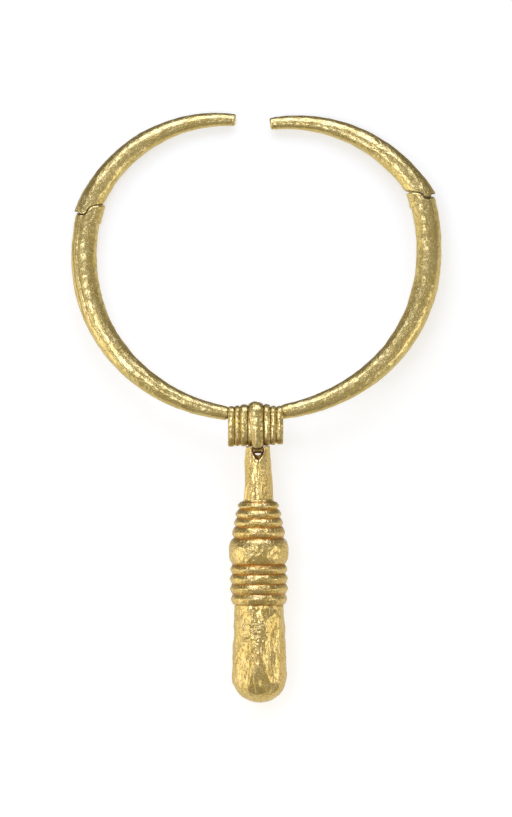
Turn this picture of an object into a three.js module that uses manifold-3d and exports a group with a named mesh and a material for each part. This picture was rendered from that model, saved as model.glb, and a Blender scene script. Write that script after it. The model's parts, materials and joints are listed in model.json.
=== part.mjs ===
// Hinged gold neck collar with a ribbed bail and a club-shaped drop, lying on its back. The
// collar is flat, rests on its two arms and is propped up in front by the thick drop.
// Millimetres, +Z up. +X is the wearer's left as the front faces the viewer, +Y runs from the
// drop's end towards the tips of the two arms.

import * as THREE from 'three';
import { mergeVertices } from 'three/addons/utils/BufferGeometryUtils.js';
import Module from 'manifold-3d';

const wasm = await Module();
wasm.setup();

// ---------------------------------------------------------------- driving dimensions

const CLEARANCE = 0.3; // free gap between pieces that touch or turn in each other
const REACH = 14; // how far a cutting solid runs past the tube that it cuts
const TILT_ROUNDS = 24; // each brings the collar's tilt about twice as near to its final value

// Collar: a round tube that lies in one plane, thin in front and thick at the hinges.
const TUBE_SIDES = 16;
const SIDE_RADIUS = 4.75;
const FRONT_RADIUS = 2.2;
const SWELL_SHARE = 0.78; // share of the way to the hinge over which the tube swells
const SWELL_POWER = 1.7;

// Front bar: two curves that meet level at its lowest point, each past its hinge at the far end.
const BAR_STATIONS = 50;
const BAR_FRONT = [-2.4, -57.4];
const BAR_LEFT = [[-38.1, -57.4], [-75.4, -26.8], [-61.5, 22.9]];
const BAR_RIGHT = [[37.8, -57.4], [76.8, -26], [61.5, 27]];

// Arms: circular arcs from the hinge to the tip, angles in degrees from +X.
const ARM_STATIONS = 22;
const ARM_RADIUS = 4.65;
const TIP_RADIUS = 2.25;
const ARM_TAPER = 1.2;
const TIP_ROUNDING = 0.45;
const ARM_OVERRUN = 7; // degrees that the uncut arm runs past its hinge
const ARMS = {
  left: { centre: [-12.75, -0.4], bend: 54.1, hingeAngle: 158.5, tipAngle: 84.6 },
  right: { centre: [13.5, -4.5], bend: 57.1, hingeAngle: 30.7, tipAngle: 98.3 },
};

// Hinges: a three-leaf knuckle on an upright pin near the outer edge of the tube. Each is laid
// out in its own frame: u points to the neck, v runs up the tube towards the arm.
const PIN_RADIUS = 0.7;
const MIDDLE_LEAF = 1.3; // half the height of the bar's leaf
const WEB = [-1, 1.7]; // the bar's leaf joins the bar between these two values of u
const TAB_PROUD = 0.55;
const TAB_INNER = 4.6; // u at which the raised tab on the neck side begins
const HINGES = {
  left: {
    pivot: [-65.1, 19.5], lean: 19, inward: 1, tongue: 1.9, cradle: 2.2, seamStart: 12,
    shoulder: [4.2, 3.1], seamSlope: 25, armFace: 209, barFace: 231.5, tabLow: -2.7,
  },
  right: {
    pivot: [64.2, 25.9], lean: 22, inward: -1, tongue: 1.8, cradle: 2.5, seamStart: 0,
    shoulder: [4.4, 1.9], seamSlope: 35, armFace: 207, barFace: 235, tabLow: -3,
  },
};

// Bail: a ribbed loop round a straight seat in the middle of the front bar.
const SEAT_Y = -57.1;
const SEAT_RADIUS = 2;
const SEAT_OVERLAP = 0.8; // how far the seat runs into the tube at each end
const BAIL_LENGTH = 8.9; // from the seat's axis to the middle of the loop's lower bend
const BAIL_SKEW = 0.045; // the loop grows this much longer for each mm to the left
const BAIL_BEND = 3; // outer radius of the lower bend
const RIB_RELIEF = 0.5; // how far the grooves lie below the crests
const BEND_STEPS = 10; // facets round each half turn of the loop
const SIDE_RIBS = [
  { from: -10.5, to: -8.2, crest: 2.95 },
  { from: -8.2, to: -5.8, crest: 3.1 },
  { from: -5.8, to: -3, crest: 3.6 },
  { from: -3, to: 2.8, crest: 3.2 },
  { from: 2.8, to: 5.2, crest: 3.6 },
  { from: 5.2, to: 7.8, crest: 3.1 },
  { from: 7.8, to: 10.2, crest: 2.95 },
];
const MIDDLE_RIB = {
  centre: -0.1, halfWidth: 3, narrowing: 0.76, topRadius: 4.7, length: 10.2, bendRadius: 3.6,
};
const LUG_RADIUS = 1.6;
const LUG_WIDTH = 3;

// Drop: turned about its own long axis, hung from a pin through the ears of its hollow neck.
const DROP_SIDES = 28;
const DROP_X = 0.75;
const DROP_LEAN = 0.4; // degrees that its turned body leans sideways from its neck
const PIN_DISTANCE = 13.2; // from the seat's axis to the pin
const DROP_PIN_RADIUS = 0.6;
const NECK_CROWN = 1.05; // radius of the ears round the pin
const EAR_SHOULDER = 0.9; // height of the neck's rim beside the ears, over the pin
const NECK_PROFILE = [[4.35, 0], [4.85, 4.7], [5.25, 13.4], [5.6, 19.1]]; // radius, depth below pin
const NECK_BORE = 3.6;
const NECK_DEPTH = 5.5;
const NOTCH_HALF_WIDTH = 2.35;
const FRONT_NOTCH = 4.4; // depth below the pin
const BACK_NOTCH = 2.5;
const RINGS_START = 19.9;
const RING_RELIEF = 0.9;
const RINGS = [
  { width: 2.9, radius: 7.7 },
  { width: 3.2, radius: 8.6 },
  { width: 3.3, radius: 9.2 },
  { width: 4.2, radius: 9.9 },
  { width: 9.7, radius: 11.16, relief: 1.5 },
  { width: 3.6, radius: 10.7 },
  { width: 3.7, radius: 10.9 },
  { width: 3.6, radius: 10.9 },
  { width: 4.2, radius: 10.5 },
];
const CLUB_TOP_RADIUS = 9;
const CLUB_END_RADIUS = 10.25;
const CLUB_LENGTH = 26.7; // to where its rounded end begins
const CLUB_ROUNDING = 10;

// ---------------------------------------------------------------- geometry helpers

const UP = new THREE.Vector3(0, 0, 1);
const toRadians = THREE.MathUtils.degToRad;

// The closed solid that a geometry bounds, ready to be joined or cut.
function solidOf(geometry) {
  const bare = geometry.clone();
  bare.deleteAttribute('normal');
  bare.deleteAttribute('uv');
  const welded = mergeVertices(bare, 1e-5);
  return new wasm.Manifold(new wasm.Mesh({
    numProp: 3,
    vertProperties: new Float32Array(welded.attributes.position.array),
    triVerts: new Uint32Array(welded.index.array),
  }));
}

// The surface of a solid, as a geometry again.
function geometryOf(solid) {
  const mesh = solid.getMesh();
  const geometry = new THREE.BufferGeometry();
  geometry.setAttribute('position', new THREE.BufferAttribute(mesh.vertProperties, 3));
  geometry.setIndex(new THREE.BufferAttribute(mesh.triVerts, 1));
  geometry.computeVertexNormals();
  return geometry;
}

// A round bar between two depths along Z.
function uprightRod(radius, low, high, x, y, sides = 24) {
  const rod = new THREE.CylinderGeometry(radius, radius, high - low, sides);
  rod.rotateX(Math.PI / 2);
  rod.translate(x, y, (low + high) / 2);
  return solidOf(rod);
}

// A round bar along X.
function crossRod(radius, left, right, y, z, sides = 24) {
  const rod = new THREE.CylinderGeometry(radius, radius, right - left, sides);
  rod.rotateZ(Math.PI / 2);
  rod.translate((left + right) / 2, y, z);
  return solidOf(rod);
}

// A flat outline raised into a slab from one height to another.
function slab(points, low, high) {
  const shape = new THREE.Shape(points);
  const raised = new THREE.ExtrudeGeometry(shape, { depth: high - low, bevelEnabled: false });
  raised.translate(0, 0, low);
  return solidOf(raised);
}

// A closed unit cylinder bent along a level curve. Its rings go to the stations one by one, and
// its rim goes out to the tube's radius, across the curve and up.
function bentTube(curveAt, radiusAt, stations) {
  const rings = stations.length - 1;
  const geometry = new THREE.CylinderGeometry(1, 1, 1, TUBE_SIDES, rings);
  const place = geometry.attributes.position;
  const vertex = new THREE.Vector3();
  for (let i = 0; i < place.count; i += 1) {
    vertex.fromBufferAttribute(place, i);
    const station = stations[Math.round((0.5 - vertex.y) * rings)];
    const { point, direction } = curveAt(station);
    const across = new THREE.Vector3().crossVectors(UP, direction);
    const radius = radiusAt(station);
    const moved = point.clone().addScaledVector(across, vertex.x * radius);
    moved.addScaledVector(UP, vertex.z * radius);
    place.setXYZ(i, moved.x, moved.y, moved.z);
  }
  return solidOf(geometry);
}

function evenStations(first, last, steps) {
  return Array.from({ length: steps + 1 }, (_, i) => first + (last - first) * (i / steps));
}

// ---------------------------------------------------------------- front bar

const half = (ends) => new THREE.CubicBezierCurve(
  new THREE.Vector2(...BAR_FRONT),
  ...ends.map((pair) => new THREE.Vector2(...pair)),
);
const barLeft = half(BAR_LEFT);
const barRight = half(BAR_RIGHT);

// Station -1 is past the left hinge, 0 is the lowest point in front, +1 is past the right hinge.
function barCurve(station) {
  const curve = station < 0 ? barLeft : barRight;
  const share = Math.abs(station);
  const point = curve.getPointAt(share);
  const direction = curve.getTangentAt(share).multiplyScalar(station < 0 ? -1 : 1);
  return {
    point: new THREE.Vector3(point.x, point.y, 0),
    direction: new THREE.Vector3(direction.x, direction.y, 0),
  };
}

function barRadius(station) {
  const left = Math.max(0, 1 - Math.abs(station) / SWELL_SHARE);
  return FRONT_RADIUS + (SIDE_RADIUS - FRONT_RADIUS) * (1 - left ** SWELL_POWER);
}

// ---------------------------------------------------------------- arms

// Station 0 is at the hinge and 1 at the tip; below 0 the arm runs on past the hinge.
function armCurve(arm) {
  return (station) => {
    const angle = toRadians(arm.hingeAngle + (arm.tipAngle - arm.hingeAngle) * station);
    const turn = Math.sign(arm.tipAngle - arm.hingeAngle);
    return {
      point: new THREE.Vector3(
        arm.centre[0] + arm.bend * Math.cos(angle),
        arm.centre[1] + arm.bend * Math.sin(angle),
        0,
      ),
      direction: new THREE.Vector3(-Math.sin(angle) * turn, Math.cos(angle) * turn, 0),
    };
  };
}

function armRadius(station) {
  const along = Math.max(0, station);
  const radius = ARM_RADIUS + (TIP_RADIUS - ARM_RADIUS) * along ** ARM_TAPER;
  return station === 1 ? radius - TIP_ROUNDING : radius;
}

function armTube(arm) {
  const sweep = Math.abs(arm.tipAngle - arm.hingeAngle);
  const rounding = TIP_ROUNDING / (arm.bend * toRadians(sweep));
  const stations = evenStations(-ARM_OVERRUN / sweep, 1 - rounding, ARM_STATIONS);
  return bentTube(armCurve(arm), armRadius, [...stations, 1]);
}

// ---------------------------------------------------------------- hinges

// A point of the hinge's own frame, placed in the plane of the collar.
function hingePoint(hinge, u, v) {
  const lean = toRadians(hinge.lean);
  return new THREE.Vector2(
    hinge.pivot[0] + hinge.inward * (u * Math.cos(lean) + v * Math.sin(lean)),
    hinge.pivot[1] - u * Math.sin(lean) + v * Math.cos(lean),
  );
}

// The seam seen from above: in from the neck side, down round the knuckle, out to the outer edge.
// The bar's side of it lies one clearance lower than the arm's.
function seamOutline(hinge, knuckle, face, drop) {
  const slope = toRadians(hinge.seamSlope);
  const lowered = (u, v) => [u + drop * Math.sin(slope), v - drop * Math.cos(slope)];
  const shoulder = lowered(...hinge.shoulder);
  const start = toRadians(hinge.seamStart);
  const seam = new THREE.Path();
  seam.moveTo(shoulder[0] + REACH * Math.cos(slope), shoulder[1] + REACH * Math.sin(slope));
  seam.lineTo(...shoulder);
  seam.quadraticCurveTo(
    (knuckle + shoulder[0]) / 2 - 0.4, shoulder[1] - 0.5,
    knuckle * Math.cos(start), knuckle * Math.sin(start),
  );
  seam.absarc(0, 0, knuckle, start, toRadians(face - 360), true);
  seam.lineTo(REACH * Math.cos(toRadians(face)), REACH * Math.sin(toRadians(face)));
  return seam.getPoints(6);
}

// Everything on one side of the seam: towards +v to cut the bar, towards -v to cut the arm.
function seamSlab(hinge, outline, side) {
  const corners = [[-REACH, side * REACH], [REACH, side * REACH]];
  const points = [...outline.map((p) => [p.x, p.y]), ...corners];
  const placed = points.map(([u, v]) => hingePoint(hinge, u, v));
  return slab(placed, -REACH, REACH);
}

function cutArm(tube, hinge) {
  const seam = seamOutline(hinge, hinge.tongue, hinge.armFace, 0);
  const [x, y] = hinge.pivot;
  const leafHalf = MIDDLE_LEAF + CLEARANCE;
  const slot = uprightRod(hinge.tongue + CLEARANCE, -leafHalf, leafHalf, x, y);
  const hole = uprightRod(PIN_RADIUS + CLEARANCE, -REACH, REACH, x, y, 16);
  return tube.subtract(seamSlab(hinge, seam, -1)).subtract(slot).subtract(hole);
}

// The raised tab that stiffens the bar's end on the neck side.
function tab(hinge, lastStation) {
  const direction = Math.sign(lastStation);
  const stations = evenStations(lastStation - direction * 0.2, lastStation, 6);
  const wide = bentTube(
    barCurve,
    (station) => barRadius(station) + TAB_PROUD,
    direction > 0 ? stations : stations.reverse(),
  );
  const corners = [[TAB_INNER, hinge.tabLow], [REACH, hinge.tabLow], [REACH, REACH],
    [TAB_INNER, REACH]];
  const placed = corners.map(([u, v]) => hingePoint(hinge, u, v));
  return wide.intersect(slab(placed, -SIDE_RADIUS, SIDE_RADIUS));
}

// The bar's own leaf: a disc round the pin, joined to the bar below it by a web.
function middleLeaf(hinge) {
  const webEnd = -hinge.cradle - 0.7;
  const web = [[WEB[0], webEnd], [WEB[1], webEnd], [WEB[1], 0], [WEB[0], 0]];
  const placed = web.map(([u, v]) => hingePoint(hinge, u, v));
  return uprightRod(hinge.tongue, -MIDDLE_LEAF, MIDDLE_LEAF, ...hinge.pivot)
    .add(slab(placed, -MIDDLE_LEAF, MIDDLE_LEAF));
}

function cutBar(tube, hinge, lastStation) {
  const seam = seamOutline(hinge, hinge.cradle, hinge.barFace, CLEARANCE);
  const [x, y] = hinge.pivot;
  const hole = uprightRod(PIN_RADIUS + CLEARANCE, -REACH, REACH, x, y, 16);
  return tube.add(tab(hinge, lastStation))
    .subtract(seamSlab(hinge, seam, 1))
    .add(middleLeaf(hinge))
    .subtract(hole);
}

// The pin's ends are dressed flush with the tube.
function hingePin(hinge, arm) {
  const rod = uprightRod(PIN_RADIUS, -REACH, REACH, ...hinge.pivot, 12);
  return rod.intersect(armTube(arm));
}

function frontBar() {
  const stations = evenStations(-1, 1, BAR_STATIONS);
  const left = SIDE_RIBS[0].from - CLEARANCE;
  const right = SIDE_RIBS.at(-1).to + CLEARANCE;
  const gap = [[left, -REACH], [right, -REACH], [right, REACH], [left, REACH]]
    .map(([x, y]) => new THREE.Vector2(x, y + SEAT_Y));
  const seat = crossRod(
    SEAT_RADIUS, left - SEAT_OVERLAP, right + SEAT_OVERLAP, SEAT_Y, 0, TUBE_SIDES,
  );
  let bar = bentTube(barCurve, barRadius, stations);
  bar = bar.subtract(slab(gap, -REACH, REACH)).add(seat);
  bar = cutBar(bar, HINGES.left, -1);
  return cutBar(bar, HINGES.right, 1);
}

// ---------------------------------------------------------------- drop, in its own frame

// The drop's own frame has its origin at the pin, +Y up through the open neck and +Z in front.
// Each ring swells from its edge to its crest by a cubic.
function dropProfile() {
  const bore = [[0, -NECK_DEPTH], [NECK_BORE, -NECK_DEPTH], [NECK_BORE, NECK_CROWN]];
  const neck = [[NECK_PROFILE[0][0], NECK_CROWN], ...NECK_PROFILE.map(([r, depth]) => [r, -depth])];
  const rings = [];
  let depth = RINGS_START;
  for (const ring of RINGS) {
    const relief = ring.relief ?? RING_RELIEF;
    const shares = ring.relief ? [0, 0.1, 0.3, 0.5, 0.7, 0.9] : [0, 0.25, 0.75];
    for (const share of shares) {
      const fall = relief * Math.abs(2 * share - 1) ** 3;
      rings.push([ring.radius - fall, -depth - share * ring.width]);
    }
    depth += ring.width;
  }
  rings.push([RINGS.at(-1).radius - RING_RELIEF, -depth]);
  const club = evenStations(0, 1, 3).map((share) => [
    CLUB_TOP_RADIUS + (CLUB_END_RADIUS - CLUB_TOP_RADIUS) * share,
    -depth - 0.1 - CLUB_LENGTH * share,
  ]);
  const round = evenStations(0, 90, 5).slice(1).map((angle) => [
    angle < 90 ? CLUB_END_RADIUS * Math.cos(toRadians(angle)) : 0,
    -depth - 0.1 - CLUB_LENGTH - CLUB_ROUNDING * Math.sin(toRadians(angle)),
  ]);
  return [...bore, ...neck, ...rings, ...club, ...round].reverse();
}

// A flat outline in the drop's own frame, run along its front-to-back direction.
function notch(depth, low, high) {
  const outline = new THREE.Shape();
  outline.moveTo(NOTCH_HALF_WIDTH, REACH);
  outline.lineTo(-NOTCH_HALF_WIDTH, REACH);
  outline.lineTo(-NOTCH_HALF_WIDTH, 0);
  outline.absellipse(0, 0, NOTCH_HALF_WIDTH, depth, Math.PI, 2 * Math.PI, false);
  return slab(outline.getPoints(8), low, high);
}

// What is cut away over the ears: all that lies above their rounded crown and shoulders.
function overEars() {
  const side = Math.asin(EAR_SHOULDER / NECK_CROWN);
  const outline = new THREE.Shape();
  outline.moveTo(REACH, EAR_SHOULDER);
  outline.lineTo(NECK_CROWN * Math.cos(side), EAR_SHOULDER);
  outline.absarc(0, 0, NECK_CROWN, side, Math.PI - side, false);
  outline.lineTo(-REACH, EAR_SHOULDER);
  outline.lineTo(-REACH, REACH);
  outline.lineTo(REACH, REACH);
  const cutter = new THREE.ExtrudeGeometry(outline, {
    depth: 2 * REACH, bevelEnabled: false, curveSegments: 6,
  });
  cutter.translate(0, 0, -REACH);
  cutter.rotateY(Math.PI / 2);
  return solidOf(cutter);
}

function dropSolid() {
  const profile = dropProfile().map(([radius, y]) => new THREE.Vector2(radius, y));
  const turned = new THREE.LatheGeometry(profile, DROP_SIDES, Math.PI / DROP_SIDES);
  turned.rotateZ(toRadians(DROP_LEAN));
  return solidOf(turned)
    .subtract(notch(FRONT_NOTCH, 0, REACH))
    .subtract(notch(BACK_NOTCH, -REACH, 0.01))
    .subtract(overEars())
    .subtract(crossRod(DROP_PIN_RADIUS + CLEARANCE, -REACH, REACH, 0, 0, 16));
}

// The drop lies on its belly and on the end of its club, which is a little slimmer.
const flatShare = Math.cos(Math.PI / DROP_SIDES);
const belly = RINGS.find((ring) => ring.relief);
const bellyDepth = RINGS.slice(0, RINGS.indexOf(belly))
  .reduce((sum, ring) => sum + ring.width, RINGS_START) + belly.width / 2;
const clubDepth = RINGS.reduce((sum, ring) => sum + ring.width, RINGS_START) + 0.1 + CLUB_LENGTH;
const dropTilt = Math.asin(((belly.radius - CLUB_END_RADIUS) * flatShare)
  / (clubDepth - bellyDepth));
const pinHeight = belly.radius * flatShare / Math.cos(dropTilt) + bellyDepth * Math.sin(dropTilt);

// ---------------------------------------------------------------- bail

// A point of the bail: x along the seat, down from the seat's axis towards the pin, and out in
// front.
function bailPoint(x, down, front) {
  return new THREE.Vector3(x, SEAT_Y - down, front);
}

// A ring whose closed profile is carried round a long loop: half a turn round the seat's axis,
// straight down, half a turn round the lower bend and straight back. Each profile point has its
// own radius round the seat, radius round the bend, and length between the two.
function loop(profile, narrowing = 1, shift = 0) {
  const turns = 2 * (BEND_STEPS + 1);
  const closed = [profile[0], ...profile.toReversed()];
  const dummy = closed.map((_, j) => new THREE.Vector2(
    10 + Math.cos((2 * Math.PI * j) / profile.length),
    Math.sin((2 * Math.PI * j) / profile.length),
  ));
  const geometry = new THREE.LatheGeometry(dummy, turns);
  const place = geometry.attributes.position;
  for (let i = 0; i < place.count; i += 1) {
    const ring = Math.floor(i / closed.length) % turns;
    const { x, top, bend, length } = closed[i % closed.length];
    const lower = ring > BEND_STEPS;
    const step = lower ? ring - BEND_STEPS - 1 : ring;
    const angle = Math.PI * (step / BEND_STEPS + (lower ? -0.5 : 0.5));
    const radius = lower ? bend : top;
    const moved = bailPoint(
      lower ? x * narrowing + shift : x,
      (lower ? length - BAIL_SKEW * x : 0) + radius * Math.cos(angle),
      radius * Math.sin(angle),
    );
    place.setXYZ(i, moved.x, moved.y, moved.z);
  }
  return solidOf(geometry);
}

function sleeve() {
  const bore = SEAT_RADIUS + CLEARANCE;
  const outer = [];
  for (const rib of SIDE_RIBS) {
    for (const share of [0.04, 0.27, 0.73, 0.96]) {
      const fall = RIB_RELIEF * Math.abs(2 * share - 1) ** 2.5;
      outer.push({
        x: rib.from + share * (rib.to - rib.from),
        top: rib.crest - fall,
        bend: BAIL_BEND - fall,
        length: BAIL_LENGTH,
      });
    }
  }
  const inner = [SIDE_RIBS.at(-1).to, SIDE_RIBS[0].from].map((x) => (
    { x: x - Math.sign(x) * 0.1, top: bore, bend: bore, length: BAIL_LENGTH }
  ));
  return loop([...outer, ...inner]);
}

function middleRib() {
  const { centre, halfWidth, narrowing, topRadius, length, bendRadius } = MIDDLE_RIB;
  const base = SEAT_RADIUS + CLEARANCE;
  const outer = evenStations(180, 0, 8).map((angle) => ({
    x: halfWidth * Math.cos(toRadians(angle)),
    top: base + 0.3 + (topRadius - base - 0.3) * Math.sin(toRadians(angle)),
    bend: base + 0.3 + (bendRadius - base - 0.3) * Math.sin(toRadians(angle)),
    length: BAIL_LENGTH + (length - BAIL_LENGTH) * Math.sin(toRadians(angle)),
  }));
  const inner = [halfWidth, -halfWidth].map((x) => (
    { x: x * 0.9, top: base, bend: base, length: BAIL_LENGTH }
  ));
  return loop([...outer, ...inner].map((p) => ({ ...p, x: p.x + centre })), narrowing, DROP_X);
}

function bail() {
  const pin = bailPoint(DROP_X, PIN_DISTANCE, 0);
  const lug = crossRod(
    LUG_RADIUS, DROP_X - LUG_WIDTH / 2, DROP_X + LUG_WIDTH / 2, pin.y, pin.z, 20,
  );
  const hole = crossRod(DROP_PIN_RADIUS + CLEARANCE, -REACH, REACH, pin.y, pin.z, 16);
  return sleeve().add(middleRib()).add(lug).subtract(hole);
}

// ---------------------------------------------------------------- pieces

const collarGold = { color: 0xb59a4a, roughness: 0.32, metalness: 1 };
const dropGold = { color: 0xc79f3f, roughness: 0.35, metalness: 1 };

function piece(name, solid, finish) {
  const mesh = new THREE.Mesh(geometryOf(solid), new THREE.MeshStandardMaterial(finish));
  mesh.name = name;
  return mesh;
}

// The collar is made level, with the middle of its tube at height 0.
const collar = new THREE.Group();
collar.add(piece('front_bar', frontBar(), collarGold));
for (const side of ['left', 'right']) {
  const arm = cutArm(armTube(ARMS[side]), HINGES[side]);
  collar.add(piece(`${side}_arm`, arm, collarGold));
  collar.add(piece(`${side}_hinge_pin`, hingePin(HINGES[side], ARMS[side]), collarGold));
}
collar.add(piece('bail', bail(), collarGold));

// Then it is tipped until its arms touch the ground while the drop's pin is at its height.
const pinReach = PIN_DISTANCE - SEAT_Y;
const extent = new THREE.Box3();
let collarTilt = 0;
for (let round = 0; round < TILT_ROUNDS; round += 1) {
  collar.updateMatrixWorld(true);
  collarTilt = Math.asin((pinHeight + extent.setFromObject(collar, true).min.z) / pinReach);
  collar.rotation.x = -collarTilt;
}
collar.position.z = pinHeight - pinReach * Math.sin(collarTilt);

const hung = new THREE.Group();
hung.add(piece('drop', dropSolid(), dropGold));
const pinEnd = NECK_PROFILE[0][0] - 0.05;
hung.add(piece('drop_pin', crossRod(DROP_PIN_RADIUS, -pinEnd, pinEnd, 0, 0, 12), dropGold));
hung.position.set(DROP_X, -pinReach * Math.cos(collarTilt), pinHeight);
hung.rotation.x = dropTilt;

// The origin is on the ground, under the middle of the object's outline.
const group = new THREE.Group();
group.add(collar, hung);
group.updateMatrixWorld(true);
const middle = extent.setFromObject(group, true).getCenter(new THREE.Vector3());
group.position.set(-middle.x, -middle.y, -extent.min.z);

export default group;
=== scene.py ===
"""The looks of a hinged gold neck collar with a ribbed bail and a club-shaped drop.

Shapes are worked out in millimetres in two frames of their own: the collar's, whose tube lies
level with its middle at height 0, and the drop's, which has its origin at the pin, +Y up through
the open neck and +Z in front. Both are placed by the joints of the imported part.
"""

import json
import math

import bpy
import numpy as np
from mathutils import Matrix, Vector


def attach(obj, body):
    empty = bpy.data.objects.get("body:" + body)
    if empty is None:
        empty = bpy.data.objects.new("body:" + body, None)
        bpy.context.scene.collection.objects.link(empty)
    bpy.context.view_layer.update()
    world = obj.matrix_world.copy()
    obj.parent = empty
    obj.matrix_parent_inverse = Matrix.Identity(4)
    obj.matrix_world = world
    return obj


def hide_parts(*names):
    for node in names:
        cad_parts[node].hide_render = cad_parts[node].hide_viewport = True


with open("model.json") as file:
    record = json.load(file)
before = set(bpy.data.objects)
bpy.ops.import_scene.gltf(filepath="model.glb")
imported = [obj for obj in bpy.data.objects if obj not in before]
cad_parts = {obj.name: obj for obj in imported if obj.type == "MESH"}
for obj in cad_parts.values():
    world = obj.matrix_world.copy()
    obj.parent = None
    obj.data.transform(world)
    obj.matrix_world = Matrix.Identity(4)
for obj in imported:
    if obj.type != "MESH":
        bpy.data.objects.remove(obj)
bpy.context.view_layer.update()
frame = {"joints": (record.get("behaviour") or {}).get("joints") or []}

MM = 0.001
REACH = 14  # how far a cutting solid runs past the piece that it cuts
CLEARANCE = 0.3  # free gap between pieces that touch or turn in each other
MEAN_DENT = 0.3  # what dents() gives on average

# ---- the maker's dimensions

# Collar: radii of its round tube in front and at the sides.
SIDE_RADIUS = 4.75
FRONT_RADIUS = 2.2
SWELL_SHARE = 0.78
SWELL_POWER = 1.7
BAR_FRONT = (-2.4, -57.4)
BAR_LEFT = ((-38.1, -57.4), (-75.4, -26.8), (-61.5, 22.9))
BAR_RIGHT = ((37.8, -57.4), (76.8, -26.0), (61.5, 27.0))

ARM_RADIUS = 4.65
TIP_RADIUS = 2.25
ARM_TAPER = 1.2
TIP_ROUNDING = 0.8
ARM_OVERRUN = 7
ARMS = {
    "left": {"centre": (-12.75, -0.4), "bend": 54.1, "hinge_angle": 158.5, "tip_angle": 84.6},
    "right": {"centre": (13.5, -4.5), "bend": 57.1, "hinge_angle": 30.7, "tip_angle": 98.3},
}
BAR_SEED = 11
ARM_SEEDS = {"left": 31, "right": 41}

# Hinges: u points to the neck, v runs up the tube towards the arm.
PIN_RADIUS = 0.7
PIN_FIT = 0.06
MIDDLE_LEAF = 1.3  # half its height
WEB = (-1, 1.7)  # between these two values of u
TAB_PROUD = 0.55
TAB_INNER = 4.6
NEAR_HINGE = 20
SEAM_ROLL = (0.55, 0.28)  # width and depth of the rolled edge beside a seam
HINGES = {
    "left": {
        "pivot": (-65.1, 19.5), "lean": 19, "inward": 1, "tongue": 1.9, "cradle": 2.2,
        "seam_start": 12, "shoulder": (4.2, 3.1), "seam_slope": 25,
        "arm_face": 209, "bar_face": 231.5, "tab_low": -2.7,
    },
    "right": {
        "pivot": (64.2, 25.9), "lean": 22, "inward": -1, "tongue": 1.8, "cradle": 2.5,
        "seam_start": 0, "shoulder": (4.4, 1.9), "seam_slope": 35,
        "arm_face": 207, "bar_face": 235, "tab_low": -3,
    },
}

# Bail: ribs along the seat, each from one x to another, with the radius of its crest, how much
# longer it is than the loop, and how deep the grooves beside it are.
SEAT_Y = -57.1
SEAT_RADIUS = 2
SEAT_LEFT, SEAT_RIGHT = -10.8, 10.5
SEAT_EASE = 1
BAIL_LENGTH = 8.9
BAIL_SKEW = 0.045
BAIL_BEND = 3
TURN_STEPS, SIDE_STEPS = 30, 28  # round each end of the loop, and along each side
SIDE_RIBS = (
    (-10.5, -8.0, 2.95, 0.05, 0.62), (-8.0, -5.9, 3.2, -0.05, 0.55), (-5.9, -3, 3.6, 0.08, 0.6),
    (-3, 2.8, 3.2, 0.22, 0.15),
    (2.8, 5.3, 3.7, 0.38, 0.6), (5.3, 7.6, 3.05, 0.15, 0.62), (7.6, 10.2, 3.0, 0, 0.6),
)
END_GROOVE = 0.62
# Where a rib's profile has its points, as shares of its width, and where the bore has them.
RIB_SHARES = (0, 0.035, 0.08, 0.15, 0.24, 0.36, 0.5, 0.64, 0.76, 0.85, 0.92, 0.965)
BORE_X = (10.1, 5, 0, -5, -10.4)
MIDDLE_RIB = {
    "centre": -0.07, "half_width": 3, "narrowing": 0.74, "top_radius": 4.7, "length": 10.2,
    "bend_radius": 3.6,
}
LUG_RADIUS = 1.6
LUG_WIDTH = 2.8

# Drop: radius and depth below the pin.
DROP_X = 0.75
DROP_LEAN = 0.4
DROP_TILT = 0.019344
PIN_DISTANCE = 13.2
DROP_PIN_RADIUS = 0.6
NECK_CROWN = 1.05
EAR_SHOULDER = 0.94
EAR_FRONT = 0.46
RIM_DIP = ((2.1, 0.42), (3.1, 0.94))  # how far in front of the pin, and over it
NECK_PROFILE = ((4.35, 0), (4.85, 4.7), (5.25, 13.4), (5.6, 19.1))
NECK_BORE = 3.6
NECK_DEPTH = 5.5
NOTCH_HALF_WIDTH = 2.35
NOTCH_POINT = 1.2
FRONT_NOTCH = 4.1
BACK_NOTCH = 2.45
BACK_SLOT = 1.35
# Rings: width and radius of each. The fifth, the belly, has a relief and powers of its own.
RINGS_START = 19.9
RINGS = (
    (2.9, 7.7), (3.2, 8.6), (3.3, 9.2), (4.2, 9.9), (9.7, 11.16),
    (3.6, 10.7), (3.7, 10.9), (3.6, 10.9), (4.2, 10.5),
)
RINGS_END = RINGS_START + sum(width for width, crest in RINGS)
BELLY = 4
# Each line: relief, power of the outline, and power by which the painted shade spreads from the
# grooves.
RING_RELIEF, RING_POWER, RING_SHADE_POWER = 0.9, 1.5, 2
BELLY_RELIEF, BELLY_POWER, BELLY_SHADE_POWER = 1.5, 3.0, 6
# Flats and swells beaten into the club's front: x, how far below the rings, half their width
# and length, and their height.
CLUB_FACETS = (
    (-1.2, 0.6, 2.4, 2.2, -0.9), (3.6, 0.8, 1.6, 2.0, -0.8), (-5.6, 9, 1.5, 7, -0.5),
    (0.2, 20, 2.2, 6, 0.5), (4.6, 21, 1.3, 5, -0.8), (0.8, 28, 1.8, 2.6, -0.8),
)
# Painted shade on the club's front: x, how far below the rings, half its width and half its length.
CLUB_SHADE = (0.3, 20, 2.4, 6.0)
CLUB_CRUMPLE = (-1.2, 9.5, 3.6, 4.2)
CLUB_TOP_RADIUS = 9
CLUB_END_RADIUS = 10.25
CLUB_LENGTH = 26.7
CLUB_ROUNDING = 10
CLUB_SWELL = 0.85
DROP_SIDES = 216

joints = {joint["name"]: joint for joint in frame["joints"]}
HINGE_AXIS = joints["left_arm_hinge"]["axis"]
COLLAR_TILT = math.atan2(HINGE_AXIS[1], HINGE_AXIS[2])


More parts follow.
